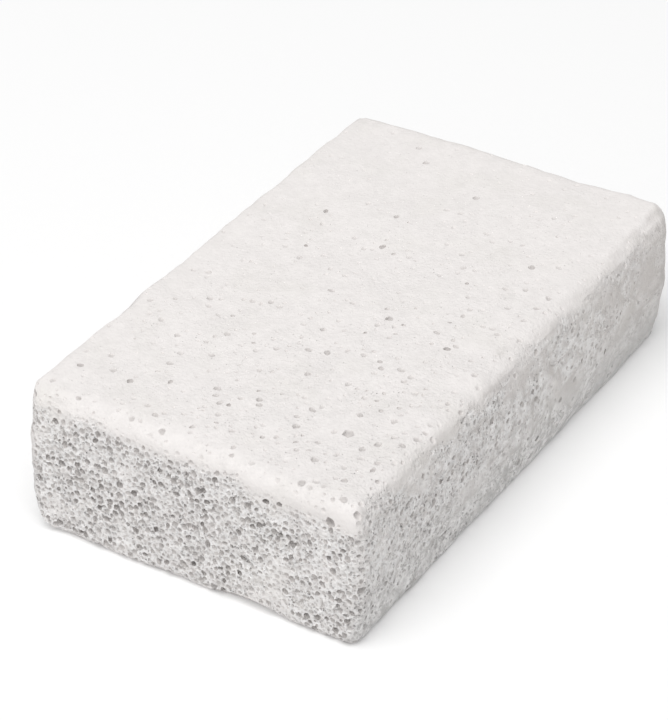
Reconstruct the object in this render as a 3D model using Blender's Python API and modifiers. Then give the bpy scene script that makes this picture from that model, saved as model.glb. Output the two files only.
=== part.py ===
"""A block of white pumice: sawn square, worn soft along its edges, and open all over with the pores
that gas bubbles left in the rock. The stone is one solid. It lies on its largest face, with its
length along Y, and the origin is under its middle, on the surface that it rests on."""

import math
import random
from collections import namedtuple

import bmesh
import bpy
from mathutils import Matrix, Vector, noise
from mathutils.bvhtree import BVHTree

MM = 0.001

# The block as it was sawn: along X, along Y and along Z
WIDTH = 60.0 * MM
LENGTH = 100.0 * MM
HEIGHT = 25.0 * MM
SIZE = Vector((WIDTH, LENGTH, HEIGHT))
MIDDLE = Vector((0, 0, HEIGHT / 2))

# The outward direction of each face
SIDES = {
    "left": Vector((-1, 0, 0)),
    "right": Vector((1, 0, 0)),
    "near": Vector((0, -1, 0)),
    "far": Vector((0, 1, 0)),
    "bottom": Vector((0, 0, -1)),
    "top": Vector((0, 0, 1)),
}

# How far each corner of the hand-sawn block is off the square, along X and Y, in millimetres
CORNER_SHIFTS = {
    ("left", "near", "bottom"): (1.0, -0.8),
    ("right", "near", "bottom"): (-0.4, -0.7),
    ("right", "far", "bottom"): (-0.1, 1.1),
    ("left", "far", "bottom"): (0.3, 0.4),
    ("left", "near", "top"): (-0.5, 1.3),
    ("right", "near", "top"): (0.0, -0.1),
    ("right", "far", "top"): (0.9, -0.5),
    ("left", "far", "top"): (-0.4, -0.6),
}

# The radius that wear has put on each edge, in millimetres
EDGE_RADII = {
    ("near", "top"): 2.6,
    ("far", "top"): 2.0,
    ("left", "top"): 1.6,
    ("right", "top"): 3.4,
    ("left", "near"): 2.4,
    ("right", "near"): 1.8,
    ("right", "far"): 5.5,
    ("left", "far"): 2.6,
    ("near", "bottom"): 1.6,
    ("far", "bottom"): 2.2,
    ("left", "bottom"): 6.6,
    ("right", "bottom"): 1.4,
}
EDGE_SEGMENTS = 3

# The faces are a little uneven: slices along X, Y and Z give them points to move, and noise moves
# the points
SLICES = (5, 8, 2)
UNEVEN_DEPTH = 0.35 * MM
UNEVEN_WAVE = 14.0 * MM

# Shallow chips along the edges: the two faces that meet there, the place along the edge from its
# middle, the length and the depth, in millimetres
CHIPS = (
    ("near", "bottom", 10.0, 10.0, 0.4),
    ("right", "bottom", 9.0, 7.0, 0.4),
    ("right", "bottom", -3.0, 20.0, 0.3),
    ("right", "bottom", -30.0, 8.0, 0.3),
    ("far", "top", 26.0, 9.0, 0.7),
    ("left", "top", -24.0, 9.0, 0.3),
    ("far", "bottom", 14.0, 9.0, 0.5),
    ("left", "far", 2.0, 7.0, 0.4),
)

# The pores that the stone is known by: place on the face and radius, in millimetres. The place is
# X and Z on the near end, Y and Z on the right side, and X and Y on the top, from the middle of
# the block's width or length and from the surface that it rests on.
KNOWN_PORES = {
    "near": (
        (1.5, 17.8, 0.95),
        (-2.3, 15.8, 0.75),
        (13.5, 20.6, 0.75),
        (24.6, 21.3, 0.95),
        (15.8, 21.0, 0.7),
        (4.5, 20.9, 0.65),
        (-3.4, 21.0, 0.65),
        (-24.5, 20.5, 0.7),
        (-15.3, 15.2, 0.8),
        (-23.3, 13.5, 0.8),
        (-19.6, 11.8, 0.65),
        (-12.3, 8.5, 0.75),
        (-9.8, 6.3, 0.7),
        (-16.3, 8.1, 0.65),
        (21.3, 16.3, 0.75),
        (25.4, 13.1, 0.7),
        (8.9, 13.3, 0.65),
        (0.8, 4.4, 0.7),
        (9.0, 6.0, 0.7),
        (20.9, 2.8, 0.7),
    ),
    "right": (
        (-42.0, 22.0, 0.7),
        (-33.0, 21.0, 0.7),
        (-30.0, 14.3, 0.9),
        (-12.5, 18.7, 0.95),
        (-17.3, 14.0, 0.65),
        (2.3, 22.6, 0.85),
        (10.3, 9.1, 0.85),
        (14.7, 10.5, 0.75),
        (25.3, 9.8, 0.7),
        (3.3, 5.7, 0.75),
    ),
    "top": (
        (-11.7, 40.0, 0.85),
        (1.1, 34.3, 0.65),
        (-6.9, 21.9, 0.65),
        (19.2, 20.1, 0.7),
        (-17.7, 17.5, 0.65),
        (-4.3, 13.2, 0.7),
        (-4.3, -2.7, 0.75),
        (7.5, -4.7, 0.75),
        (15.7, -4.1, 0.65),
        (19.2, -7.0, 0.65),
        (-19.5, -14.3, 0.7),
        (16.3, -16.0, 0.8),
        (1.3, -18.5, 0.7),
        (-18.0, -25.7, 0.65),
        (22.3, -28.1, 0.7),
        (18.1, -34.3, 0.95),
        (26.5, -33.0, 0.7),
        (2.3, -33.9, 0.7),
        (-17.3, -39.7, 0.65),
        (-11.1, -44.0, 0.65),
    ),
}

# The other pores lie by chance: how many are wide and how many are small on each face. The saw
# cut the two ends across the bubbles, so they are the most open.
PORE_COUNTS = {
    "near": (0, 165),
    "far": (16, 155),
    "right": (0, 68),
    "left": (8, 60),
    "top": (0, 36),
    "bottom": (6, 18),
}
WIDE_RADII = (0.65 * MM, 0.9 * MM)
SMALL_RADII = (0.45 * MM, 0.68 * MM)
PORE_GAP = 0.35 * MM  # the least stone left between two pores
PORE_SQUASH = 0.8  # the narrow way across a pore, at the least, for a wide way of 1
WIDE_SIDES = 6
WIDE_RINGS = 3
WIDE_LIFT = 0.2  # how far a wide bubble's middle is above the face, in radii
SMALL_SIDES = 5
SMALL_DEPTH = 0.9  # how deep a small bubble goes, in radii
SMALL_LIFT = 0.2  # how far it stands out of the face, in radii
PORE_SEED = 41

# The skin under the top edges is closed, and the long faces close up towards the far end
SKIN_DEPTH = 2.5 * MM
FAR_OPENNESS = 0.3  # for 1 at the near end

# A pore: the middle of its mouth on the sawn block, the radius of its mouth, and whether it is wide
Pore = namedtuple("Pore", "place radius wide")


def material(name, colour, roughness):
    made = bpy.data.materials.new(name)
    made.use_nodes = True
    shader = made.node_tree.nodes["Principled BSDF"]
    shader.inputs["Base Color"].default_value = (*colour, 1.0)
    shader.inputs["Roughness"].default_value = roughness
    shader.inputs["Metallic"].default_value = 0.0
    return made


def collection(name):
    made = bpy.data.collections.new(name)
    bpy.context.scene.collection.children.link(made)
    return made


def object_of(bm, name, where):
    """The bmesh as a new object in the collection, and the bmesh freed."""
    mesh = bpy.data.meshes.new(name)
    bm.to_mesh(mesh)
    bm.free()
    made = bpy.data.objects.new(name, mesh)
    where.objects.link(made)
    return made


def reach(direction):
    """Half of the block's size along a direction of X, Y or Z."""
    return abs(SIZE @ direction) / 2


def sides_at(point):
    """The faces of the block that a corner, or the middle of an edge, lies on."""
    return {name for name, out in SIDES.items() if (point - MIDDLE) @ out > 0.99 * reach(out)}


def sawn_block():
    """The block before wear: a cube at its real size, each corner off by its own shift, and each
    edge weighted by the radius that it will have."""
    bm = bmesh.new()
    bmesh.ops.create_cube(bm, size=1.0)
    bm.transform(Matrix.Translation(MIDDLE) @ Matrix.Diagonal((*SIZE, 1)))
    weight = bm.edges.layers.float.new("bevel_weight_edge")
    widest = max(EDGE_RADII.values())
    for edge in bm.edges:
        ends = sides_at((edge.verts[0].co + edge.verts[1].co) / 2)
        edge[weight] = edge_radius(*ends) / MM / widest
    shifts = {frozenset(corner): shift for corner, shift in CORNER_SHIFTS.items()}
    for vert in bm.verts:
        vert.co += Vector((*shifts[frozenset(sides_at(vert.co))], 0)) * MM
    return bm


def edge_radius(one, other):
    return next(radius for ends, radius in EDGE_RADII.items() if set(ends) == {one, other}) * MM


def wear_edges(block):
    bevel = block.modifiers.new("worn edges", "BEVEL")
    bevel.limit_method = "WEIGHT"
    bevel.width = max(EDGE_RADII.values()) * MM
    bevel.segments = EDGE_SEGMENTS
    bevel.use_clamp_overlap = False
    worn = bmesh.new()
    worn.from_object(block, bpy.context.evaluated_depsgraph_get())
    block.modifiers.remove(bevel)
    return worn


def slice_faces(bm):
    """Draws evenly spaced lines across the faces, by cutting them along planes."""
    for axis, count in enumerate(SLICES):
        across = Vector([float(i == axis) for i in range(3)])
        for k in range(1, count):
            place = MIDDLE + across * SIZE[axis] * (k / count - 0.5)
            surface = [*bm.verts, *bm.edges, *bm.faces]
            bmesh.ops.bisect_plane(bm, geom=surface, plane_co=place, plane_no=across)


def make_uneven(bm):
    """Moves each point a little along its normal. The face that the stone rests on stays flat."""
    bm.normal_update()
    depths = [UNEVEN_DEPTH * noise.noise(vert.co / UNEVEN_WAVE) for vert in bm.verts]
    shifts = [vert.normal * depth for vert, depth in zip(bm.verts, depths)]
    for vert, shift in zip(bm.verts, shifts):
        if vert.co.z > 0.01 * MM:
            vert.co += shift
            vert.co.z = max(vert.co.z, 0.0)


def openness(side, place):
    """How likely a face is to have a pore at a place on it, up to 1."""
    if side not in ("top", "bottom") and place.z > HEIGHT - SKIN_DEPTH:
        return 0
    if side in ("near", "far"):
        return 1
    return FAR_OPENNESS + (1 - FAR_OPENNESS) * (0.5 - place.y / LENGTH)


def chance_place(side, rng):
    """A place somewhere on a face of the sawn block."""
    out = SIDES[side]
    place = MIDDLE + out * reach(out)
    for direction in (Vector((1, 0, 0)), Vector((0, 1, 0)), Vector((0, 0, 1))):
        if not direction @ out:
            place += direction * rng.uniform(-1, 1) * reach(direction)
    return place


def known_place(side, a, b):
    """A place on a face of the sawn block, from the two coordinates that lie in the face."""
    return {
        "near": Vector((a * MM, -LENGTH / 2, b * MM)),
        "right": Vector((WIDTH / 2, a * MM, b * MM)),
        "top": Vector((a * MM, b * MM, HEIGHT)),
    }[side]


def clear_of(pores, place, radius):
    """True if a pore there leaves a wall to each of the others."""
    return all((place - p.place).length > radius + p.radius + PORE_GAP for p in pores)


def all_pores():
    """The known pores, then the wide ones that lie by chance, then the small ones."""
    rng = random.Random(PORE_SEED)
    found = []
    for side, pores in KNOWN_PORES.items():
        found += [Pore(known_place(side, a, b), radius * MM, True) for a, b, radius in pores]
    for wide, radii in ((True, WIDE_RADII), (False, SMALL_RADII)):
        for side, (wide_count, small_count) in PORE_COUNTS.items():
            wanted = len(found) + (wide_count if wide else small_count)
            while len(found) < wanted:
                place = chance_place(side, rng)
                radius = rng.uniform(*radii)
                if rng.random() < openness(side, place) and clear_of(found, place, radius):
                    found.append(Pore(place, radius, wide))
    return found


def bowl(bm, radius, frame):
    """A low ball, which leaves a round bowl in the stone."""
    bmesh.ops.create_uvsphere(
        bm,
        u_segments=WIDE_SIDES,
        v_segments=WIDE_RINGS,
        radius=radius,
        matrix=frame @ Matrix.Translation((0, 0, radius * WIDE_LIFT)),
    )


def pit(bm, radius, frame):
    """A cone on its tip, which leaves a small pit as wide as the radius says where it is open."""
    bmesh.ops.create_cone(
        bm,
        cap_ends=True,
        segments=SMALL_SIDES,
        radius1=0,
        radius2=radius * (1 + SMALL_LIFT / SMALL_DEPTH),
        depth=radius * (SMALL_DEPTH + SMALL_LIFT),
        matrix=frame @ Matrix.Translation((0, 0, radius * (SMALL_LIFT - SMALL_DEPTH) / 2)),
    )


def bubbles(worn, where):
    """All the bubbles that show, each set on the worn surface, in one mesh that cuts the stone."""
    rng = random.Random(PORE_SEED)
    surface = BVHTree.FromBMesh(worn)
    bm = bmesh.new()
    made = []
    for pore in all_pores():
        place, out, _, _ = surface.find_nearest(pore.place)
        facing = out.to_track_quat("Z", "Y").to_matrix().to_4x4()
        turn = Matrix.Rotation(rng.uniform(0, 2 * math.pi), 4, "Z")
        squash = Matrix.Diagonal((rng.uniform(PORE_SQUASH, 1), 1, 1, 1))
        if clear_of(made, place, pore.radius):
            made.append(pore._replace(place=place))
            shape = bowl if pore.wide else pit
            shape(bm, pore.radius, Matrix.Translation(place) @ facing @ turn @ squash)
    return object_of(bm, "bubbles", where)


def chips(where):
    """A big ball for each chip, which takes a shallow bite of its edge."""
    bm = bmesh.new()
    for one, other, along, length, depth in CHIPS:
        out = (SIDES[one] + SIDES[other]).normalized()
        edge = Vector([abs(value) for value in SIDES[one].cross(SIDES[other])])
        corner = MIDDLE + SIDES[one] * reach(SIDES[one]) + SIDES[other] * reach(SIDES[other])
        worn_off = edge_radius(one, other) * (math.sqrt(2) - 1)
        radius = length**2 / (8 * depth) * MM
        place = corner + edge * along * MM + out * (radius - worn_off - depth * MM)
        bmesh.ops.create_icosphere(
            bm, subdivisions=3, radius=radius, matrix=Matrix.Translation(place)
        )
    return object_of(bm, "chip_balls", where)


def cut(block, cutter, name):
    boolean = block.modifiers.new(name, "BOOLEAN")
    boolean.operation = "DIFFERENCE"
    boolean.solver = "EXACT"
    boolean.object = cutter
    cutter.hide_render = True
    cutter.display_type = "WIRE"


def centre_on_origin(block):
    """Moves everything so that the finished stone's box is centred over the origin."""
    bpy.context.view_layer.update()
    worn_mesh = block.evaluated_get(bpy.context.evaluated_depsgraph_get()).to_mesh()
    places = [vert.co for vert in worn_mesh.vertices]
    offset = Vector([(min(p[i] for p in places) + max(p[i] for p in places)) / 2 for i in (0, 1)])
    for obj in bpy.data.objects:
        obj.location -= offset.to_3d()


def main():
    for old in list(bpy.data.objects):
        bpy.data.objects.remove(old)
    stone_parts = collection("pumice stone")
    cutters = collection("cutters")

    block = object_of(sawn_block(), "pumice_stone", stone_parts)
    worn = wear_edges(block)
    slice_faces(worn)
    make_uneven(worn)
    bmesh.ops.triangulate(worn, faces=worn.faces)
    worn.to_mesh(block.data)
    cut(block, chips(cutters), "chips")
    cut(block, bubbles(worn, cutters), "open pores")
    worn.free()
    centre_on_origin(block)
    block.data.materials.append(material("white_pumice", (0.80, 0.79, 0.77), 0.95))


main()
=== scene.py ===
import math
import random
from collections import namedtuple
from itertools import product

import bmesh
import bpy
from mathutils import Matrix, Vector, noise
from mathutils.bvhtree import BVHTree
from mathutils.interpolate import poly_3d_calc


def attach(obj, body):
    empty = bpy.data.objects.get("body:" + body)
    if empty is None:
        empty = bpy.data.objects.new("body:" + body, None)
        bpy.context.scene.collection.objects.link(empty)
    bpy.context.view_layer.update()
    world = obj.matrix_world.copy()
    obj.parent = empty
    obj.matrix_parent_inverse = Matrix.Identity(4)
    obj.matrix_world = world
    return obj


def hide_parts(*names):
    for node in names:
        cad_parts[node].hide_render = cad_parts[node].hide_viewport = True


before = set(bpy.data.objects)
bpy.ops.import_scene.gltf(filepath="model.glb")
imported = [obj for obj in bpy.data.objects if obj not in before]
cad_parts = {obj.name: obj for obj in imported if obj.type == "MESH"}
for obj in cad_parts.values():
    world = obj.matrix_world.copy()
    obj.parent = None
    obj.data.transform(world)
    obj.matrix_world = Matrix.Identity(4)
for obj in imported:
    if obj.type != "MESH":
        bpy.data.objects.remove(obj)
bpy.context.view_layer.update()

mm = 0.001
upright = Vector((0, 0, 1))


# turns an sRGB hex value to linear
def srgb(code):
    channels = [int(code[k : k + 2], 16) / 255 for k in (1, 3, 5)]
    linear = [c / 12.92 if c <= 0.04045 else ((c + 0.055) / 1.055) ** 2.4 for c in channels]
    return (*linear, 1.0)


# The block as it was sawn, in mm. Near is -Y and right is +X.
block = {
    "size": (60.0, 100.0, 25.0),
    # how far each corner is off the square, along X and along Y
    "cornerShifts": {
        "left near bottom": (1.0, -0.8),
        "right near bottom": (-0.4, -0.7),
        "right far bottom": (-0.8, 1.1),
        "left far bottom": (0.3, 0.4),
        "left near top": (-0.5, 1.3),
        "right near top": (0.0, -0.1),
        "right far top": (0.9, -0.5),
        "left far top": (-0.4, -0.6),
    },
    # how far wear has rounded each edge
    "edgeRadii": {
        "near top": 2.6,
        "far top": 2.0,
        "left top": 1.6,
        "right top": 3.6,
        "left near": 2.4,
        "right near": 1.8,
        "right far": 5.5,
        "left far": 2.6,
        "near bottom": 1.6,
        "far bottom": 2.2,
        "left bottom": 6.6,
        "right bottom": 1.4,
    },
    "edgeSegments": 5,
    "gridStep": 1.6,  # the flat faces get points this far apart, for the unevenness to move
    "unevenDepth": 0.35,  # the long waves in the faces
    "unevenWave": 14.0,
    "sawnDepth": 0.26,  # the small humps that the saw and the wear left
    "sawnWave": 3.4,
    # how far wear has crowned the faces that stand: half out at half height, half in at the edges
    "crowns": {"left": 0.9, "right": 1.1, "near": 0.35, "far": 0.35},
    "restHeight": 0.01,  # what is no higher than this is the face that it rests on, and stays flat
    # shallow chips: the edge, the place along it from its middle, the length and the depth
    "chips": (
        ("near bottom", 10.0, 10.0, 0.4),
        ("right bottom", 9.0, 7.0, 0.4),
        ("right bottom", -3.0, 20.0, 0.3),
        ("right bottom", -30.0, 8.0, 0.3),
        ("far top", 26.0, 9.0, 0.7),
        ("left top", -24.0, 9.0, 0.3),
        ("far bottom", 14.0, 9.0, 0.5),
        ("left far", 2.0, 7.0, 0.4),
    ),
    "chipSubdivisions": 5,
    "triangles": 197000,  # what the finished stone is thinned out to
    "mendRounds": 40,  # how often its faulty edges are drawn in, at most
}

sides = {
    "left": Vector((-1, 0, 0)),
    "right": Vector((1, 0, 0)),
    "near": Vector((0, -1, 0)),
    "far": Vector((0, 1, 0)),
    "bottom": Vector((0, 0, -1)),
    "top": Vector((0, 0, 1)),
}
axes = (Vector((1, 0, 0)), Vector((0, 1, 0)), Vector((0, 0, 1)))
size = Vector(block["size"]) * mm
middle = Vector((0, 0, size.z / 2))
onSide = 0.99  # a point this far out from the middle counts as on a side, for 1 exactly on it


def reach(direction):
    return abs(size @ direction) / 2


def sidesAt(point):
    return {name for name, out in sides.items() if (point - middle) @ out > onSide * reach(out)}


def edgeRadius(ends):
    matches = (radius for name, radius in block["edgeRadii"].items() if set(name.split()) == set(ends))
    return next(matches) * mm


def newObject(name, bm):
    mesh = bpy.data.meshes.new(name)
    bm.to_mesh(mesh)
    bm.free()
    made = bpy.data.objects.new(name, mesh)
    bpy.context.scene.collection.objects.link(made)
    return made


def applyModifiers(obj):
    old = obj.data
    graph = bpy.context.evaluated_depsgraph_get()
    obj.data = bpy.data.meshes.new_from_object(obj.evaluated_get(graph))
    obj.modifiers.clear()
    bpy.data.meshes.remove(old)


def cutAway(stone, cutter, solver):
    cut = stone.modifiers.new("cut", "BOOLEAN")
    cut.operation = "DIFFERENCE"
    cut.solver = solver
    cut.object = cutter
    applyModifiers(stone)
    mesh = cutter.data
    bpy.data.objects.remove(cutter)
    bpy.data.meshes.remove(mesh)


def sawnBlock():
    bm = bmesh.new()
    bmesh.ops.create_cube(bm, size=1.0)
    bm.transform(Matrix.Translation(middle) @ Matrix.Diagonal((*size, 1)))
    weight = bm.edges.layers.float.new("bevel_weight_edge")
    widest = max(block["edgeRadii"].values()) * mm
    for edge in bm.edges:
        halfway = (edge.verts[0].co + edge.verts[1].co) / 2
        edge[weight] = edgeRadius(sidesAt(halfway)) / widest
    shifts = {frozenset(name.split()): shift for name, shift in block["cornerShifts"].items()}
    for vert in bm.verts:
        alongX, alongY = shifts[frozenset(sidesAt(vert.co))]
        vert.co += Vector((alongX, alongY, 0)) * mm
    return newObject("pumiceStone", bm)


def wearEdges(stone):
    bevel = stone.modifiers.new("worn edges", "BEVEL")
    bevel.limit_method = "WEIGHT"
    bevel.width = max(block["edgeRadii"].values()) * mm
    bevel.segments = block["edgeSegments"]
    bevel.use_clamp_overlap = False
    applyModifiers(stone)


# cuts the faces into a grid of points that can move
def divideFaces(bm):
    for axis, extent in zip(axes, size):
        count = round(extent / (block["gridStep"] * mm))
        for k in range(1, count):
            place = middle + axis * extent * (k / count - 0.5)
            surface = [*bm.verts, *bm.edges, *bm.faces]
            bmesh.ops.bisect_plane(bm, geom=surface, plane_co=place, plane_no=axis)
    bm.normal_update()


def makeUneven(stone):
    bm = bmesh.new()
    bm.from_mesh(stone.data)
    divideFaces(bm)
    moves = []
    for vert in bm.verts:
        depth = block["unevenDepth"] * noise.noise(vert.co / (block["unevenWave"] * mm))
        depth += block["sawnDepth"] * noise.noise(vert.co / (block["sawnWave"] * mm))
        height = vert.co.z / middle.z - 1  # -1 at the bottom, 1 at the top
        for side, crown in block["crowns"].items():
            depth += crown * (0.5 - height**2) * max(vert.normal @ sides[side], 0.0) ** 2
        moves.append(vert.normal * depth * mm)
    for vert, move in zip(bm.verts, moves):
        if vert.co.z > block["restHeight"] * mm:
            vert.co += move
            vert.co.z = max(vert.co.z, 0.0)
    bmesh.ops.triangulate(bm, faces=bm.faces)
    bm.to_mesh(stone.data)
    bm.free()


# each chip is taken off by a ball as large as its length and its depth ask
def chipEdges(stone):
    bm = bmesh.new()
    for edgeName, along, length, depth in block["chips"]:
        one, other = (sides[name] for name in edgeName.split())
        out = (one + other).normalized()
        edge = Vector([abs(value) for value in one.cross(other)])
        corner = middle + one * reach(one) + other * reach(other)
        wornOff = edgeRadius(edgeName.split()) * (math.sqrt(2) - 1)  # from the sharp corner inwards
        radius = length**2 / (8 * depth) * mm
        place = corner + edge * along * mm + out * (radius - wornOff - depth * mm)
        here = Matrix.Translation(place)
        bmesh.ops.create_icosphere(bm, subdivisions=block["chipSubdivisions"], radius=radius, matrix=here)
    cutAway(stone, newObject("chips", bm), "EXACT")


# The open bubbles of each face, in mm. Each is a ball that the face cuts through, higher or lower.
pores = {
    "seed": 7,
    # how many on each face; the saw cut the ends across the bubbles, so they are the most open
    "counts": {"near": 2150, "far": 2000, "right": 1250, "left": 1150, "top": 1050, "bottom": 400},
    "radii": {  # the smallest, the largest, and how much commoner the small ones are
        "near": (0.3, 0.68, 1.7),
        "far": (0.3, 0.72, 1.7),
        "right": (0.3, 0.66, 1.8),
        "left": (0.26, 0.56, 1.6),
        "top": (0.32, 0.74, 1.6),
        "bottom": (0.26, 0.6, 1.6),
    },
    "spacing": {  # the least from middle to middle, for 1 where two mouths would just touch
        "near": 0.84,
        "far": 0.84,
        "right": 0.95,
        "left": 0.95,
        "top": 1.2,
        "bottom": 1.2,
    },
    "depths": {  # how far a ball's middle is under the face, in radii, where the stone is most open
        "near": (-0.78, 0.35),
        "far": (-0.78, 0.35),
        "right": (-0.86, 0.05),
        "left": (-0.88, 0.0),
        "top": (-0.85, 0.05),
        "bottom": (-0.8, 0.2),
    },
    # pores that nick the edges: how many on each, their radii, their depths and their spacing
    "nicks": {
        "near bottom": 40,
        "right bottom": 50,
        "far bottom": 40,
        "left bottom": 30,
        "right near": 14,
        "left near": 14,
        "right far": 10,
        "left far": 14,
    },
    "nickRadii": (0.45, 1.0),
    "nickDepths": (-0.7, 0.0),
    "nickSpacing": 0.84,
    # the pores that the stone is known by: their size for 1 as listed, depths and spacing
    "knownShare": {"near": 0.92, "right": 0.8, "top": 0.95},
    "knownDepths": {"near": (0.1, 0.6), "right": (-0.3, 0.3), "top": (-0.5, 0.15)},
    "knownSpacing": 0.5,
    "tries": 40,  # to find a free place for a pore
    "lumps": 0.2,  # how far a bubble is off round, in radii
    "squash": 0.68,  # the narrowest bubble, for 1 as wide as it is long
    "lean": 0.35,  # how far the bubbles that lean most do so, in radii
    # a cutting ball ends flat, this far out of the face, and no further up than a share of its radius
    "lift": 0.09,
    "highestEnd": 0.94,
    "detail": ((0.34, 5, 2), (0.5, 6, 3), (math.inf, 10, 4)),  # up to this radius, so many sides and rings
    "gap": 0.06,  # between two balls that are cut away at once
    # closed skin below the top edges, how far it takes to open, and how open it is itself
    "skin": {"near": 2.3, "far": 2.3, "right": 0.9, "left": 0.5},
    "skinWaver": 1.8,
    "skinWave": 5.0,
    "skinFade": {"near": 3.5, "far": 3.5, "right": 0.9, "left": 1.2},
    "skinOpenness": 0.05,
    "patchLevel": 0.9,  # open and closed patches
    "patchLeast": 0.4,
    "patchWave": 6.0,
    "farOpenness": 0.2,  # the long sides at their far ends, for 1 at their near ends
    "rubbedFar": 0.15,  # the same for the rubbed top and bottom
    "rubbedLeft": 0.45,  # and at their left edges, for 1 at the right
    "rubbedOpenness": 0.24,  # how porous the top and bottom look between their pores
    "leastShare": 0.01,  # a face counts at a place where the squared cosine to it is more than this
    # how much raw stone shows between the pores: on the sawn ends where they are closed and how much
    # more where they are open, and half-way along the long sides and how much it grows from end to end,
    # a growth that is painted shade, darker towards their far ends
    "rawEnds": (0.18, 0.28),
    "rawAndShadeSides": (0.7, 0.6),
    "footHeight": 14.0,  # how far up the long sides the painted shade of their foot reaches, darker towards the bottom
    "footTurn": 0.7,  # and how large the X of a place's normal must be to take all of it
    "wallDip": 0.2,  # how unevenly the walls between the bubbles are worn down
    "wallWave": 0.7,
    "wallTurn": -0.9,  # walls whose normals point further down than this aren't worn
    "onFace": 0.02,  # what is less deep than this is still the face, not a pore
    "rimDrop": 0.06,  # a point of the face with one this deep beside it is on a rim
    "sharpAngle": 42.0,  # degrees
    # the flat stretches between pores are shaded as the block was before they were cut: faces whose
    # normals are turned off its own by no more than this cosine, and less and less up to this openness
    "flatTurn": 0.85,
    "flatUpTo": 0.5,
    "mapMargin": 0.003,  # round each face where the surface is laid out flat, for 1 across the map
}

# The pores that the stone is known by: place on the face and radius. The place is X and Z on the
# near end, Y and Z on the right side, and X and Y on the top.
knownPores = {
    "near": (
        (1.5, 17.8, 0.95),
        (-2.3, 15.8, 0.75),
        (13.5, 20.6, 0.75),
        (24.6, 21.3, 0.95),
        (15.8, 21.0, 0.7),
        (4.5, 20.9, 0.65),
        (-3.4, 21.0, 0.65),
        (-24.5, 20.5, 0.7),
        (-15.3, 15.2, 0.8),
        (-23.3, 13.5, 0.8),
        (-19.6, 11.8, 0.65),
        (-12.3, 8.5, 0.75),
        (-9.8, 6.3, 0.7),
        (-16.3, 8.1, 0.65),
        (21.3, 16.3, 0.75),
        (25.4, 13.1, 0.7),
        (8.9, 13.3, 0.65),
        (0.8, 4.4, 0.7),
        (9.0, 6.0, 0.7),
        (20.9, 2.8, 0.7),
        (-9.0, 11.3, 0.6),
        (-23.8, 22.4, 0.5),
        (24.6, 15.1, 0.6),
        (24.3, 4.0, 0.55),
        (7.7, 10.3, 0.5),
        (-8.3, 21.9, 0.5),
        (-20.8, 20.9, 0.5),
        (25.0, 9.1, 0.5),
        (6.1, 4.5, 0.5),
        (-20.1, 2.0, 0.6),
        (-14.6, 2.6, 0.6),
        (-8.1, 2.5, 0.6),
        (13.75, 11.9, 0.5),
        (15.2, 11.2, 0.45),
        (18.3, 2.5, 0.5),
        (21.5, 9.2, 0.45),
        (0.6, 13.8, 0.5),
        (-12.1, 17.4, 0.5),
    ),
    "right": (
        (-42.0, 22.0, 0.7),
        (-33.0, 21.0, 0.7),
        (-30.0, 14.3, 0.9),
        (-12.5, 18.7, 0.95),
        (-25.8, 18.9, 0.5),
        (-17.3, 14.0, 0.65),
        (2.3, 22.6, 0.85),
        (10.3, 9.1, 0.85),
        (14.7, 10.5, 0.75),
        (25.3, 9.8, 0.7),
        (16.7, 13.0, 0.6),
        (29.0, 14.2, 0.5),
        (3.3, 5.7, 0.75),
        (36.0, 21.5, 0.6),
        (-0.3, 8.0, 0.6),
        (-46.0, 11.0, 0.6),
    ),
    "top": (
        (-11.7, 40.0, 0.85),
        (-15.2, 43.5, 0.6),
        (13.3, 46.7, 0.7),
        (1.1, 34.3, 0.65),
        (-6.9, 21.9, 0.65),
        (-4.3, 21.5, 0.4),
        (19.2, 20.1, 0.7),
        (14.7, 25.3, 0.5),
        (-17.7, 17.5, 0.65),
        (-4.3, 13.2, 0.7),
        (-1.7, 12.3, 0.5),
        (2.3, 12.3, 0.4),
        (12.8, 10.5, 0.5),
        (-15.0, 7.0, 0.5),
        (-4.3, -2.7, 0.75),
        (7.5, -4.7, 0.75),
        (7.3, -8.3, 0.5),
        (10.4, -7.7, 0.45),
        (10.2, -4.9, 0.5),
        (6.3, -10.0, 0.4),
        (12.4, -15.7, 0.5),
        (13.0, -23.4, 0.5),
        (14.5, -23.3, 0.4),
        (17.2, -24.7, 0.5),
        (19.6, -23.0, 0.5),
        (17.2, -22.6, 0.45),
        (16.0, -27.2, 0.5),
        (6.9, -27.1, 0.5),
        (-5.3, -17.0, 0.5),
        (-8.2, -19.2, 0.4),
        (-4.8, -21.0, 0.45),
        (-11.1, -19.8, 0.45),
        (-13.2, -25.0, 0.5),
        (-13.8, -16.6, 0.4),
        (12.8, -36.2, 0.5),
        (14.2, -39.2, 0.45),
        (15.5, -41.2, 0.5),
        (7.8, -41.8, 0.5),
        (-0.9, -37.5, 0.5),
        (0.0, -42.2, 0.45),
        (9.6, 0.0, 0.5),
        (7.9, -0.6, 0.4),
        (15.7, -4.1, 0.65),
        (16.0, -0.7, 0.45),
        (19.2, -7.0, 0.65),
        (-15.0, -11.5, 0.55),
        (-12.0, -11.3, 0.5),
        (-19.5, -14.3, 0.7),
        (16.3, -16.0, 0.8),
        (1.3, -18.5, 0.7),
        (-6.9, -21.3, 0.5),
        (22.5, -20.0, 0.5),
        (6.3, -24.0, 0.5),
        (-18.0, -25.7, 0.65),
        (22.3, -28.1, 0.7),
        (-3.5, -31.0, 0.45),
        (0.8, -31.9, 0.4),
        (2.3, -33.9, 0.7),
        (9.3, -34.5, 0.5),
        (18.1, -34.3, 0.95),
        (26.5, -33.0, 0.7),
        (-22.3, -37.2, 0.5),
        (-26.0, -40.3, 0.7),
        (-17.3, -39.7, 0.65),
        (12.7, -40.3, 0.5),
        (27.9, -42.0, 0.5),
        (-11.1, -44.0, 0.65),
        (12.1, -45.7, 0.45),
        (16.0, -46.0, 0.45),
        (6.3, -47.8, 0.5),
    ),
}

Pore = namedtuple("Pore", "place normal radius depth")
cell = 1.0 * mm  # neighbours are looked up in cells of this size, in a place's own and those around it


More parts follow.
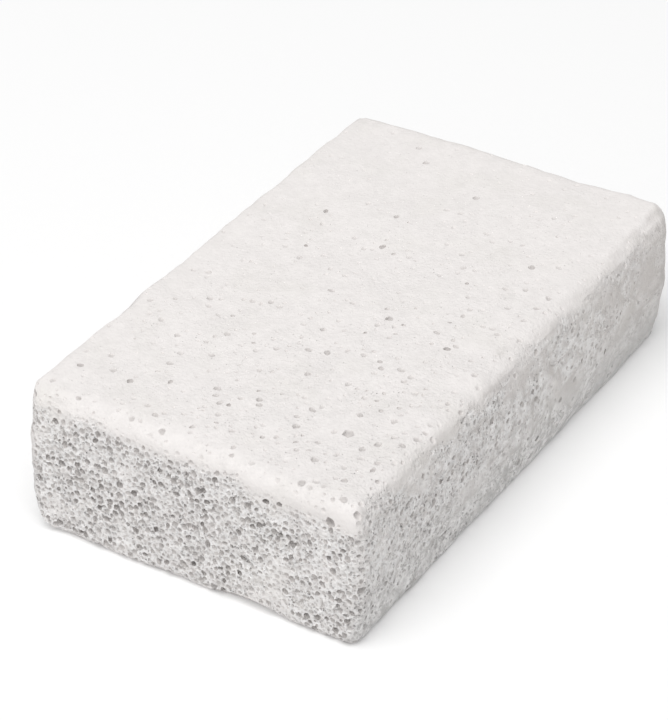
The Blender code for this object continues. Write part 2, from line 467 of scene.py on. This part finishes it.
def cellAt(place):
    return tuple(int(measure // cell) for measure in place)


def cellsAround(place):
    return product(*((number - 1, number, number + 1) for number in cellAt(place)))


# how open the stone is at a place on a face: 1 as open as the sawn ends, 0 closed skin
def openness(side, place):
    wander = noise.noise(place / (pores["patchWave"] * mm))
    patches = min(max(pores["patchLevel"] + wander, pores["patchLeast"]), 1.0)
    toNear = 0.5 - place.y / size.y
    if side in ("top", "bottom"):
        toRight = 0.5 + place.x / size.x
        far, left = pores["rubbedFar"], pores["rubbedLeft"]
        return patches * (far + (1 - far) * toNear) * (left + (1 - left) * toRight)
    skin = pores["skin"][side] + pores["skinWaver"] * noise.noise(place / (pores["skinWave"] * mm))
    below = size.z - skin * mm - place.z
    patches *= min(max(below / (pores["skinFade"][side] * mm), pores["skinOpenness"]), 1.0)
    if side in ("near", "far"):
        return patches
    return patches * (pores["farOpenness"] + (1 - pores["farOpenness"]) * toNear)


# the same at any point of the surface, where the faces run into each other over the worn edges,
# with how much of the raw stone shows there between the pores together with the painted shade that
# darkens the long sides towards their far ends, and how much painted shade darkens the foot of it
def rawnessAndShadeAt(place, normal):
    porous = 0.0
    rawAndShade = 0.0
    closedEnd, openEnd = pores["rawEnds"]
    halfWay, farShade = pores["rawAndShadeSides"]
    for side, out in sides.items():
        share = max(normal @ out, 0.0) ** 2
        if share <= pores["leastShare"]:
            continue
        openHere = openness(side, place)
        if side in ("top", "bottom"):
            porous += share * pores["rubbedOpenness"] * openHere
            continue
        porous += share * openHere
        if side in ("near", "far"):
            rawAndShade += share**2 * (closedEnd + openEnd * math.sqrt(openHere))
        else:
            # painted shade: the long sides darker towards their far ends
            rawAndShade += share**2 * (halfWay + farShade * place.y / size.y)
    # painted shade: the long sides darker towards the bottom
    foot = max(1 - place.z / (pores["footHeight"] * mm), 0.0)
    footShade = foot * min(abs(normal.x) / pores["footTurn"], 1.0)
    return porous, rawAndShade, footShade


# the place of two measures across one face of the sawn block; heights count from the ground
def acrossFace(side, along, up):
    flat = sides[side]
    first, second = (axis for axis in axes if not axis @ flat)
    start = Vector((0, 0, 0)) if flat.z == 0 else middle
    return start + flat * reach(flat) + first * along + second * up


def addKnown(settle, rng):
    for side, places in knownPores.items():
        shallow, deep = pores["knownDepths"][side]
        share = pores["knownShare"][side]
        for along, up, radius in places:
            place = acrossFace(side, along * mm, up * mm)
            settle(place, radius * share * mm, rng.uniform(shallow, deep), pores["knownSpacing"])


def addNicks(settle, rng):
    for edgeName, count in pores["nicks"].items():
        one, other = (sides[name] for name in edgeName.split())
        corner = middle + one * reach(one) + other * reach(other)
        edge = one.cross(other)
        for _ in range(count):
            place = corner + edge * reach(edge) * rng.uniform(-1, 1)
            radius = rng.uniform(*pores["nickRadii"]) * mm
            settle(place, radius, rng.uniform(*pores["nickDepths"]), pores["nickSpacing"])


# the largest first, each where the stone is open enough for it and there is still room
def scatter(side, settle, rng):
    flat = sides[side]
    across = [axis for axis in axes if not axis @ flat]
    count = pores["counts"][side]
    shallow, deep = pores["depths"][side]
    smallest, largest, bias = pores["radii"][side]
    radii = [smallest + (largest - smallest) * rng.random() ** bias for _ in range(count)]
    radii.sort(reverse=True)
    kept = 0
    for radius in radii:
        for _ in range(pores["tries"]):
            place = middle + flat * reach(flat)
            for axis in across:
                place = place + axis * rng.uniform(-1, 1) * reach(axis)
            openHere = openness(side, place)
            if rng.random() > openHere:
                continue
            depth = shallow + (deep - shallow) * math.sqrt(openHere) * rng.random()
            if settle(place, radius * mm, depth, pores["spacing"][side]):
                kept += 1
                break
    print(f"  {side}: {kept} of {count} pores")


def allPores(surface):
    rng = random.Random(pores["seed"])
    taken = {}
    found = []

    # keeps a pore at the point of the surface nearest to a place, if it is clear of its neighbours
    def settle(wanted, radius, depth, spacing):
        place, normal, _, _ = surface.find_nearest(wanted)
        centre = place - normal * depth * radius
        mouth = radius * math.sqrt(1 - depth * depth)
        for key in cellsAround(place):
            for other, otherMouth in taken.get(key, ()):
                if (place - other).length < (mouth + otherMouth) * spacing:
                    return False
        taken.setdefault(cellAt(place), []).append((place, mouth))
        found.append(Pore(centre, normal, radius, depth))
        return True

    addKnown(settle, rng)
    addNicks(settle, rng)
    for side in pores["counts"]:
        scatter(side, settle, rng)
    return found


# whether a pore comes too near to a neighbour in a group to be cut away with it
def touches(pore, group):
    swollen = 1 + pores["lumps"]
    for key in cellsAround(pore.place):
        for other in group.get(key, ()):
            reached = (pore.radius + other.radius) * swollen + pores["gap"] * mm
            if (pore.place - other.place).length < reached:
                return True
    return False


# The pores in groups in which neighbours don't touch, because each group is cut away at once. A few
# large balls more than a cell apart still do, which the cut bears.
def apart(found):
    groups = []
    for pore in found:
        for members, group in groups:
            if not touches(pore, group):
                break
        else:
            members, group = [], {}
            groups.append((members, group))
        members.append(pore)
        group.setdefault(cellAt(pore.place), []).append(pore)
    return [members for members, group in groups]


def addBubble(bm, pore, rng):
    sideCount, ringCount = next(rest for most, *rest in pores["detail"] if pore.radius < most * mm)
    end = math.acos(min(pore.depth + pores["lift"] * mm / pore.radius, pores["highestEnd"]))
    squash = rng.uniform(pores["squash"], 1.0)
    lean = rng.uniform(0, pores["lean"])
    spin = Matrix.Rotation(rng.uniform(0, math.tau), 3, "Z")
    turn = pore.normal.to_track_quat("Z", "Y").to_matrix() @ spin
    phase = rng.uniform(0, math.tau)
    lumps = [1 + pores["lumps"] * rng.uniform(-1, 1) for _ in range(sideCount)]

    def point(angle, side):
        around = phase + math.tau * side / sideCount
        x = math.sin(angle) * math.cos(around) * lumps[side]
        y = math.sin(angle) * math.sin(around) * lumps[side] * squash
        z = math.cos(angle)
        x += lean * (pore.depth - z)
        return bm.verts.new(pore.place + turn @ Vector((x, y, z)) * pore.radius)

    rings = []
    for k in range(ringCount):
        angle = end + (math.pi - end) * k / ringCount
        rings.append([point(angle, side) for side in range(sideCount)])
    tip = point(math.pi, 0)
    bm.faces.new(rings[0])
    for upper, lower in zip(rings, rings[1:]):
        for s in range(sideCount):
            t = (s + 1) % sideCount
            bm.faces.new((upper[s], lower[s], lower[t], upper[t]))
    for s in range(sideCount):
        bm.faces.new((rings[-1][s], tip, rings[-1][(s + 1) % sideCount]))


def bubbles(group, rng):
    bm = bmesh.new()
    for pore in group:
        addBubble(bm, pore, rng)
    return newObject("bubbles", bm)


# takes away the crumbs that are left where several bubbles meet, and tells how many they were
def largestPart(bm):
    seen = set()
    parts = []
    for start in bm.verts:
        if start in seen:
            continue
        part = [start]
        seen.add(start)
        for vert in part:
            for edge in vert.link_edges:
                other = edge.other_vert(vert)
                if other not in seen:
                    seen.add(other)
                    part.append(other)
        parts.append(part)
    parts.sort(key=len)
    crumbs = [vert for part in parts[:-1] for vert in part]
    bmesh.ops.delete(bm, geom=crumbs, context="VERTS")
    return len(parts) - 1


# draws in the edges of no length that a cut can leave, where more than two faces meet
def mend(bm):
    for _ in range(block["mendRounds"]):
        faulty = [edge for edge in bm.edges if not edge.is_manifold]
        if not faulty:
            break
        bmesh.ops.collapse(bm, edges=faulty)


def thinOut(stone):
    bm = bmesh.new()
    bm.from_mesh(stone.data)
    bmesh.ops.triangulate(bm, faces=bm.faces)
    mend(bm)
    crumbs = largestPart(bm)
    bm.to_mesh(stone.data)
    bm.free()
    print(f"  {len(stone.data.polygons)} triangles before thinning, {crumbs} crumbs")
    fewer = stone.modifiers.new("fewer", "DECIMATE")
    fewer.ratio = min(block["triangles"] / len(stone.data.polygons), 1.0)
    applyModifiers(stone)


# Lays the surface out flat for a texture, each pore with the side that it is in: the long faces
# stand beside each other, and the two ends beside each other below them.
def layOut(bm, facings):
    uv = bm.loops.layers.uv.new("OFBake")
    low = [min(vert.co[k] for vert in bm.verts) for k in range(3)]
    extent = [max(vert.co[k] for vert in bm.verts) - low[k] for k in range(3)]
    margin = pores["mapMargin"]
    patches = {}
    base = 0.0
    for row in (("near", "far"), ("top", "bottom", "right", "left")):
        across = {side: [k for k in range(3) if not axes[k] @ sides[side]] for side in row}
        if "right" in across:
            across.update({"right": [2, 1], "left": [2, 1]})  # turned, so that these stand upright too
        total = sum(extent[first] for first, second in across.values())
        height = extent[across[row[0]][1]] / (extent[1] + extent[2])
        left = 0.0
        for side, (first, second) in across.items():
            width = extent[first] / total
            patches[side] = (first, left, width, second, base, height)
            left += width
        base += height
    for face in bm.faces:
        towards = sum((facings[vert.index] for vert in face.verts), Vector((0, 0, 0)))
        side = max(sides, key=lambda name: towards @ sides[name])
        first, left, width, second, base, height = patches[side]
        for loop in face.loops:
            u = (loop.vert.co[first] - low[first]) / extent[first]
            v = (loop.vert.co[second] - low[second]) / extent[second]
            u = left + margin + (width - 2 * margin) * u
            v = base + margin + (height - 2 * margin) * v
            loop[uv].uv = (u, v)


surfaceNotes = ("poreDepth", "rim", "porous", "rawAndShade", "footShade")


# Notes for each point how deep it is, how raw the stone is there, with the painted shade that darkens
# the long sides towards their far ends, how much painted shade darkens its foot, and whether it is
# on a pore's rim. Gives back which way the whole block faces at each point, and its smooth normal at
# those that are still on its face.
def noteSurface(bm, whole):
    before = bmesh.new()
    before.from_mesh(whole)
    before.faces.ensure_lookup_table()
    tree = BVHTree.FromBMesh(before)
    poreDepth, rim, porous, rawAndShade, footShade = [bm.verts.layers.float.new(name) for name in surfaceNotes]
    facings = {}
    normals = {}
    for vert in bm.verts:
        place, facing, index, distance = tree.find_nearest(vert.co)
        facings[vert.index] = facing
        vert[poreDepth] = distance / mm
        vert[porous], vert[rawAndShade], vert[footShade] = rawnessAndShadeAt(place, facing)
        if distance > pores["onFace"] * mm:
            continue
        corners = before.faces[index].verts
        weights = poly_3d_calc([corner.co for corner in corners], place)
        parts = (corner.normal * weight for corner, weight in zip(corners, weights))
        normals[vert.index] = sum(parts, Vector((0, 0, 0))).normalized()
    before.free()
    for vert in bm.verts:
        if vert[poreDepth] < pores["onFace"]:
            beside = [edge.other_vert(vert)[poreDepth] for edge in vert.link_edges]
            vert[rim] = float(max(beside) > pores["rimDrop"])
    return facings, normals


# wears the walls between the bubbles down unevenly
def wearWalls(bm, normals):
    poreDepth = bm.verts.layers.float["poreDepth"]
    porous = bm.verts.layers.float["porous"]
    for vert in bm.verts:
        if vert[poreDepth] < pores["onFace"] and normals[vert.index].z > pores["wallTurn"]:
            worn = 0.5 + noise.noise(vert.co / (pores["wallWave"] * mm))
            vert.co -= normals[vert.index] * max(worn, 0.0) * pores["wallDip"] * vert[porous] * mm


# shades the flat stretches between the pores as the block was before they were cut
def shadeFlats(mesh, normals, uneven):
    mesh.shade_smooth()
    mesh.set_sharp_from_angle(angle=math.radians(pores["sharpAngle"]))
    shading = [corner.vector.copy() for corner in mesh.corner_normals]
    for face in mesh.polygons:
        for corner, vertex in zip(face.loop_indices, face.vertices):
            flat = normals.get(vertex)
            if flat and flat @ face.normal > pores["flatTurn"]:
                shading[corner] = flat.lerp(shading[corner], uneven[vertex]).normalized()
    mesh.normals_split_custom_set(shading)


def finishSurface(stone, whole):
    bm = bmesh.new()
    bm.from_mesh(stone.data)
    mend(bm)
    largestPart(bm)
    bm.verts.index_update()
    facings, normals = noteSurface(bm, whole)
    wearWalls(bm, normals)
    porous = bm.verts.layers.float["porous"]
    smooth = (vert for vert in bm.verts if vert.index in normals)
    uneven = {vert.index: min(vert[porous] / pores["flatUpTo"], 1.0) for vert in smooth}
    openEdges = [edge for edge in bm.edges if not edge.is_manifold]
    print(f"  {len(bm.faces)} triangles, {len(openEdges)} open edges")
    layOut(bm, facings)
    bm.to_mesh(stone.data)
    bm.free()
    shadeFlats(stone.data, normals, uneven)


# how far the stone has to move to stand over the middle of the floor
def offMiddle(stone):
    corners = [Vector(corner) for corner in stone.bound_box]
    low = [min(corner[k] for corner in corners) for k in range(2)]
    high = [max(corner[k] for corner in corners) for k in range(2)]
    return Vector((-(low[0] + high[0]) / 2, -(low[1] + high[1]) / 2, 0))


def pumiceStone():
    stone = sawnBlock()
    wearEdges(stone)
    makeUneven(stone)
    chipEdges(stone)
    print(f"block sawn and worn: {len(stone.data.polygons)} faces")
    whole = stone.data.copy()
    bm = bmesh.new()
    bm.from_mesh(whole)
    surface = BVHTree.FromBMesh(bm)
    bm.free()
    found = allPores(surface)
    rng = random.Random(pores["seed"] + 1)
    for group in apart(found):
        cutAway(stone, bubbles(group, rng), "MANIFOLD")
        print(f"cut {len(group)} bubbles: {len(stone.data.polygons)} faces")
    thinOut(stone)
    finishSurface(stone, whole)
    bpy.data.meshes.remove(whole)
    shift = offMiddle(stone)
    stone.data.transform(Matrix.Translation(shift))
    print("surface finished")
    return stone, shift


# White pumice, sawn and then rubbed: glass froth with a dull, powdery surface, so it has no gloss.
# It is off-white and a little mottled and greyer where it is open, with a painted highlight on the
# rims of its thin walls, and painted shade in its pores, on the foot of its long sides and towards
# their far ends.
finish = {
    "stone": "#F0ECEA",
    "openStone": "#D4CFCC",  # the same stone where fine pores take its brightness away; on the long sides also painted shade, darker towards their far ends
    "rimHighlightColour": "#FBF9F8",  # painted highlight on the rims of the walls between pores
    # painted shade inside the pores and the fine pits
    "poreShadeColour": "#CECAC8",
    "stain": "#E2DFD9",
    "footShadeColour": "#C0C2C2",  # painted shade on the foot of the long sides, darker towards the bottom
    "specular": 0.2,  # a froth of thin walls mirrors less than solid glass does
    "roughness": (0.9, 1.0),
    # mm under the face: where the painted shade of the pores starts, and where it is full in a pore of
    # the rubbed stone and in one of the raw
    "poreShade": (0.06, 0.38, 0.8),
    # the patterns: the scale in mm, and the detail and the harshness of the noise behind each
    "waves": {
        "mottle": (9.0, 3, 0.5),
        "blotch": (1.5, 2, 0.5),
        "rimHighlight": (1.3, 1, 0.5),
        "grain": (0.55, 3, 0.6),  # the finest froth is 0.05 mm; drawn coarser here, so that it shows
    },
    "finePores": 0.56,  # from one pore that is too fine to model to the next
    "stainStrength": 0.3,
    "leastRimHighlight": 0.35,
    "footShadeCover": (0.3, 0.9),  # how much of the painted shade the foot takes, in its lightest and in its darkest patches
    "finePoreSizes": (0.1, 0.5),  # their largest radii, on closed and on open stone, in finePores
    "finePoreEdge": 0.16,  # how far in from their rims they are at their deepest, in finePores
    "finePoreShade": 0.7,  # how much of the painted pore shade they take
    "inPores": (0.25, 0.3),  # so many mm down in the larger pores, how much of them still shows
    "blotchTone": 0.08,  # how much paler and darker the blotches are
    "grainTone": 0.2,
    "rubbedBlotch": 0.3,  # how much of the blotches and of the grain is left on rubbed stone
    "rubbedGrain": 0.15,
    # how porous the stone is where the fine pores are largest, where the blotches and the grain are at
    # their strongest, and where the painted highlight on the rims begins and is at its strongest
    "largestPoresFrom": 0.8,
    "strongestFrom": 0.6,
    "rimHighlightFrom": (0.1, 0.5),
    "unrubbedFrom": 0.4,  # how raw it is where nothing is left of the rubbing
    "grainRelief": 0.8,
    "finePoreRelief": 0.2,
}
firstColour, secondColour, mixedColour = 6, 7, 2  # the colour sockets of a Mix node


# an input is a value or another node's output
def addNode(tree, kind, inputs=None, **settings):
    node = tree.nodes.new(kind)
    for key, value in settings.items():
        setattr(node, key, value)
    for key, value in (inputs or {}).items():
        if isinstance(value, bpy.types.NodeSocket):
            tree.links.new(value, node.inputs[key])
        else:
            node.inputs[key].default_value = value
    return node


# small pits of chance sizes, drawn only by bump and painted shade, larger where the stone is open and
# fainter inside the larger pores
def finePits(tree, inMm, notes):
    inputs = {"Vector": inMm, "Scale": 1 / finish["finePores"]}
    cells = addNode(tree, "ShaderNodeTexVoronoi", inputs, feature="F1")
    chance = addNode(tree, "ShaderNodeSeparateColor", {"Color": cells.outputs["Color"]}).outputs["Red"]
    onClosed, onOpen = finish["finePoreSizes"]
    inputs = {
        "Value": notes["porous"],
        "From Max": finish["largestPoresFrom"],
        "To Min": onClosed,
        "To Max": onOpen,
    }
    widest = addNode(tree, "ShaderNodeMapRange", inputs).outputs["Result"]
    radius = addNode(tree, "ShaderNodeMath", {0: chance, 1: widest}, operation="MULTIPLY").outputs[0]
    inputs = {0: radius, 1: cells.outputs["Distance"]}
    inside = addNode(tree, "ShaderNodeMath", inputs, operation="SUBTRACT").outputs[0]
    inputs = {"Value": inside, "From Max": finish["finePoreEdge"]}
    hollow = addNode(tree, "ShaderNodeMapRange", inputs).outputs["Result"]
    down, showing = finish["inPores"]
    inputs = {"Value": notes["poreDepth"], "From Max": down, "To Min": 1.0, "To Max": showing}
    flatness = addNode(tree, "ShaderNodeMapRange", inputs).outputs["Result"]
    return addNode(tree, "ShaderNodeMath", {0: hollow, 1: flatness}, operation="MULTIPLY").outputs[0]


# the stone, its stains, the painted highlight on its rims, and the painted shade in its pores, on its
# foot and towards the far ends of its long sides
def stoneColour(tree, waves, notes, pit):
    inputs = {"Value": waves["mottle"], "From Min": 0.5, "From Max": 0.8, "To Max": finish["stainStrength"]}
    stained = addNode(tree, "ShaderNodeMapRange", inputs).outputs["Result"]

    # the painted highlight is patchy and lies on the rims, where the stone is raw and its pores are crowded
    inputs = {"Value": waves["rimHighlight"], "From Min": 0.3, "From Max": 0.55, "To Min": finish["leastRimHighlight"]}
    rimHighlight = addNode(tree, "ShaderNodeMapRange", inputs).outputs["Result"]
    inputs = {"Value": notes["rawAndShade"], "From Max": finish["unrubbedFrom"]}
    unrubbed = addNode(tree, "ShaderNodeMapRange", inputs).outputs["Result"]
    begins, thickest = finish["rimHighlightFrom"]
    inputs = {"Value": notes["porous"], "From Min": begins, "From Max": thickest}
    crowded = addNode(tree, "ShaderNodeMapRange", inputs).outputs["Result"]
    for share in (notes["rim"], unrubbed, crowded):
        rimHighlight = addNode(tree, "ShaderNodeMath", {0: rimHighlight, 1: share}, operation="MULTIPLY").outputs[0]

    # painted shade in the pores, darker the deeper they go
    starts, onRubbed, onRaw = finish["poreShade"]
    inputs = {"Value": unrubbed, "To Min": onRubbed, "To Max": onRaw}
    ends = addNode(tree, "ShaderNodeMapRange", inputs).outputs["Result"]
    inputs = {"Value": notes["poreDepth"], "From Min": starts, "From Max": ends}
    shaded = addNode(tree, "ShaderNodeMapRange", inputs).outputs["Result"]
    # painted shade in the fine pits
    inputs = {0: pit, 1: finish["finePoreShade"]}
    finePitShade = addNode(tree, "ShaderNodeMath", inputs, operation="MULTIPLY").outputs[0]

    cleanest, greyest = finish["footShadeCover"]
    inputs = {
        "Value": waves["blotch"],
        "From Min": 0.25,
        "From Max": 0.75,
        "To Min": cleanest,
        "To Max": greyest,
    }
    cover = addNode(tree, "ShaderNodeMapRange", inputs).outputs["Result"]
    # painted shade on the foot of the long sides, in patches
    inputs = {0: notes["footShade"], 1: cover}
    footShade = addNode(tree, "ShaderNodeMath", inputs, operation="MULTIPLY").outputs[0]

    colour = srgb(finish["stone"])
    for amount, name in (
        (notes["rawAndShade"], "openStone"),
        (stained, "stain"),
        (footShade, "footShadeColour"),
        (rimHighlight, "rimHighlightColour"),
        (shaded, "poreShadeColour"),
        (finePitShade, "poreShadeColour"),
    ):
        inputs = {0: amount, firstColour: colour, secondColour: srgb(finish[name])}
        colour = addNode(tree, "ShaderNodeMix", inputs, data_type="RGBA").outputs[mixedColour]
    return colour


# makes the colour slightly paler and darker in blotches and in the finest grain, and less so on
# rubbed stone
def toned(tree, colour, waves, notes, humps):
    most = finish["blotchTone"]
    inputs = {"Value": waves["blotch"], "From Min": 0.3, "From Max": 0.7, "To Min": -most, "To Max": most}
    broad = addNode(tree, "ShaderNodeMapRange", inputs).outputs["Result"]
    inputs = {
        "Value": notes["porous"],
        "From Max": finish["strongestFrom"],
        "To Min": finish["rubbedBlotch"],
    }
    share = addNode(tree, "ShaderNodeMapRange", inputs).outputs["Result"]
    inputs = {0: broad, 1: share, 2: 1.0}
    broad = addNode(tree, "ShaderNodeMath", inputs, operation="MULTIPLY_ADD").outputs[0]
    inputs = {0: humps, 1: finish["grainTone"], 2: broad}
    fine = addNode(tree, "ShaderNodeMath", inputs, operation="MULTIPLY_ADD").outputs[0]
    inputs = {"Vector": colour, "Scale": fine}
    return addNode(tree, "ShaderNodeVectorMath", inputs, operation="SCALE").outputs["Vector"]


def whitePumice():
    made = bpy.data.materials.new("whitePumice")
    made.use_nodes = True
    tree = made.node_tree
    shader = tree.nodes["Principled BSDF"]
    shader.inputs["Specular IOR Level"].default_value = finish["specular"]

    notes = {}
    for name in surfaceNotes:
        notes[name] = addNode(tree, "ShaderNodeAttribute", attribute_name=name).outputs["Fac"]
    here = addNode(tree, "ShaderNodeTexCoord").outputs["Object"]
    inputs = {"Vector": here, "Scale": 1 / mm}
    inMm = addNode(tree, "ShaderNodeVectorMath", inputs, operation="SCALE").outputs["Vector"]
    waves = {}
    for name, (scale, detail, harshness) in finish["waves"].items():
        inputs = {"Vector": inMm, "Scale": 1 / scale, "Detail": detail, "Roughness": harshness}
        waves[name] = addNode(tree, "ShaderNodeTexNoise", inputs).outputs["Fac"]

    # the grain as small humps about nought, lower on rubbed stone
    inputs = {
        "Value": notes["porous"],
        "From Max": finish["strongestFrom"],
        "To Min": finish["rubbedGrain"],
    }
    strength = addNode(tree, "ShaderNodeMapRange", inputs).outputs["Result"]
    centred = addNode(tree, "ShaderNodeMath", {0: waves["grain"], 1: 0.5}, operation="SUBTRACT").outputs[0]
    humps = addNode(tree, "ShaderNodeMath", {0: centred, 1: strength}, operation="MULTIPLY").outputs[0]
    pit = finePits(tree, inMm, notes)

    colour = stoneColour(tree, waves, notes, pit)
    tree.links.new(toned(tree, colour, waves, notes, humps), shader.inputs["Base Color"])

    smoothest, roughest = finish["roughness"]
    inputs = {
        "Value": waves["grain"],
        "From Min": 0.3,
        "From Max": 0.7,
        "To Min": smoothest,
        "To Max": roughest,
    }
    roughness = addNode(tree, "ShaderNodeMapRange", inputs).outputs["Result"]
    tree.links.new(roughness, shader.inputs["Roughness"])

    inputs = {"Height": humps, "Distance": finish["grainRelief"] * mm}
    bump = addNode(tree, "ShaderNodeBump", inputs).outputs["Normal"]
    inputs = {"Height": pit, "Distance": finish["finePoreRelief"] * mm, "Normal": bump}
    bump = addNode(tree, "ShaderNodeBump", inputs, invert=True).outputs["Normal"]
    tree.links.new(bump, shader.inputs["Normal"])
    return made


stone, shift = pumiceStone()
stone.data.materials.clear()
stone.data.materials.append(whitePumice())
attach(stone, "root")
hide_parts("pumice_stone")
print("white pumice laid on the stone")

# A table of lit white acrylic under a pale room, and one large softbox. Lengths in mm.
studio = {
    "aim": (-6.86, 2.29, 8.21),  # what the camera looks at, before the stone is set over the middle
    "azimuth": 31.52,
    "elevation": 33.99,
    "distance": 501.03,
    "lens": 154.5,
    "floorSize": 4000.0,
    "floorColour": "#F4F4F4",
    "floorGlow": 0.1,
    "roomColour": "#FFFFFF",
    "roomStrength": 0.42,
    "softboxFrom": (0.03, -0.4, 0.92),  # nearly overhead, a little to the near side
    "softboxDistance": 1500.0,
    "softboxSize": 1500.0,
    "softboxPower": 17.6,  # W
}


def addFloor():
    bm = bmesh.new()
    bmesh.ops.create_grid(bm, x_segments=1, y_segments=1, size=studio["floorSize"] / 2 * mm)
    floor = newObject("floor", bm)
    acrylic = bpy.data.materials.new("litAcrylic")
    acrylic.use_nodes = True
    shader = acrylic.node_tree.nodes["Principled BSDF"]
    shader.inputs["Base Color"].default_value = srgb(studio["floorColour"])
    shader.inputs["Roughness"].default_value = 1.0  # no shine at all, so that no light mirrors in it
    shader.inputs["Specular IOR Level"].default_value = 0.0
    shader.inputs["Emission Color"].default_value = srgb(studio["roomColour"])
    shader.inputs["Emission Strength"].default_value = studio["floorGlow"]
    floor.data.materials.append(acrylic)


def addLights():
    scene = bpy.context.scene
    world = bpy.data.worlds.new("room")
    world.use_nodes = True
    background = world.node_tree.nodes["Background"]
    background.inputs["Color"].default_value = srgb(studio["roomColour"])
    background.inputs["Strength"].default_value = studio["roomStrength"]
    scene.world = world
    light = bpy.data.lights.new("softbox", "AREA")
    light.shape = "DISK"
    light.size = studio["softboxSize"] * mm
    light.energy = studio["softboxPower"]
    softbox = bpy.data.objects.new("softbox", light)
    towards = Vector(studio["softboxFrom"]).normalized()
    softbox.location = towards * studio["softboxDistance"] * mm
    softbox.rotation_euler = towards.to_track_quat("Z", "Y").to_euler()
    scene.collection.objects.link(softbox)
    scene.view_settings.view_transform = "Standard"


def addCamera(shift):
    azimuth = math.radians(studio["azimuth"])
    elevation = math.radians(studio["elevation"])
    level = Vector((math.sin(azimuth), -math.cos(azimuth), 0))
    back = level * math.cos(elevation) + upright * math.sin(elevation)
    data = bpy.data.cameras.new("camera")
    data.lens = studio["lens"]
    camera = bpy.data.objects.new("camera", data)
    camera.location = (Vector(studio["aim"]) + back * studio["distance"]) * mm + shift
    camera.rotation_euler = (math.pi / 2 - elevation, 0, azimuth)
    bpy.context.scene.collection.objects.link(camera)
    bpy.context.scene.camera = camera


addFloor()
addLights()
addCamera(shift)
print("floor, lights and camera set up")
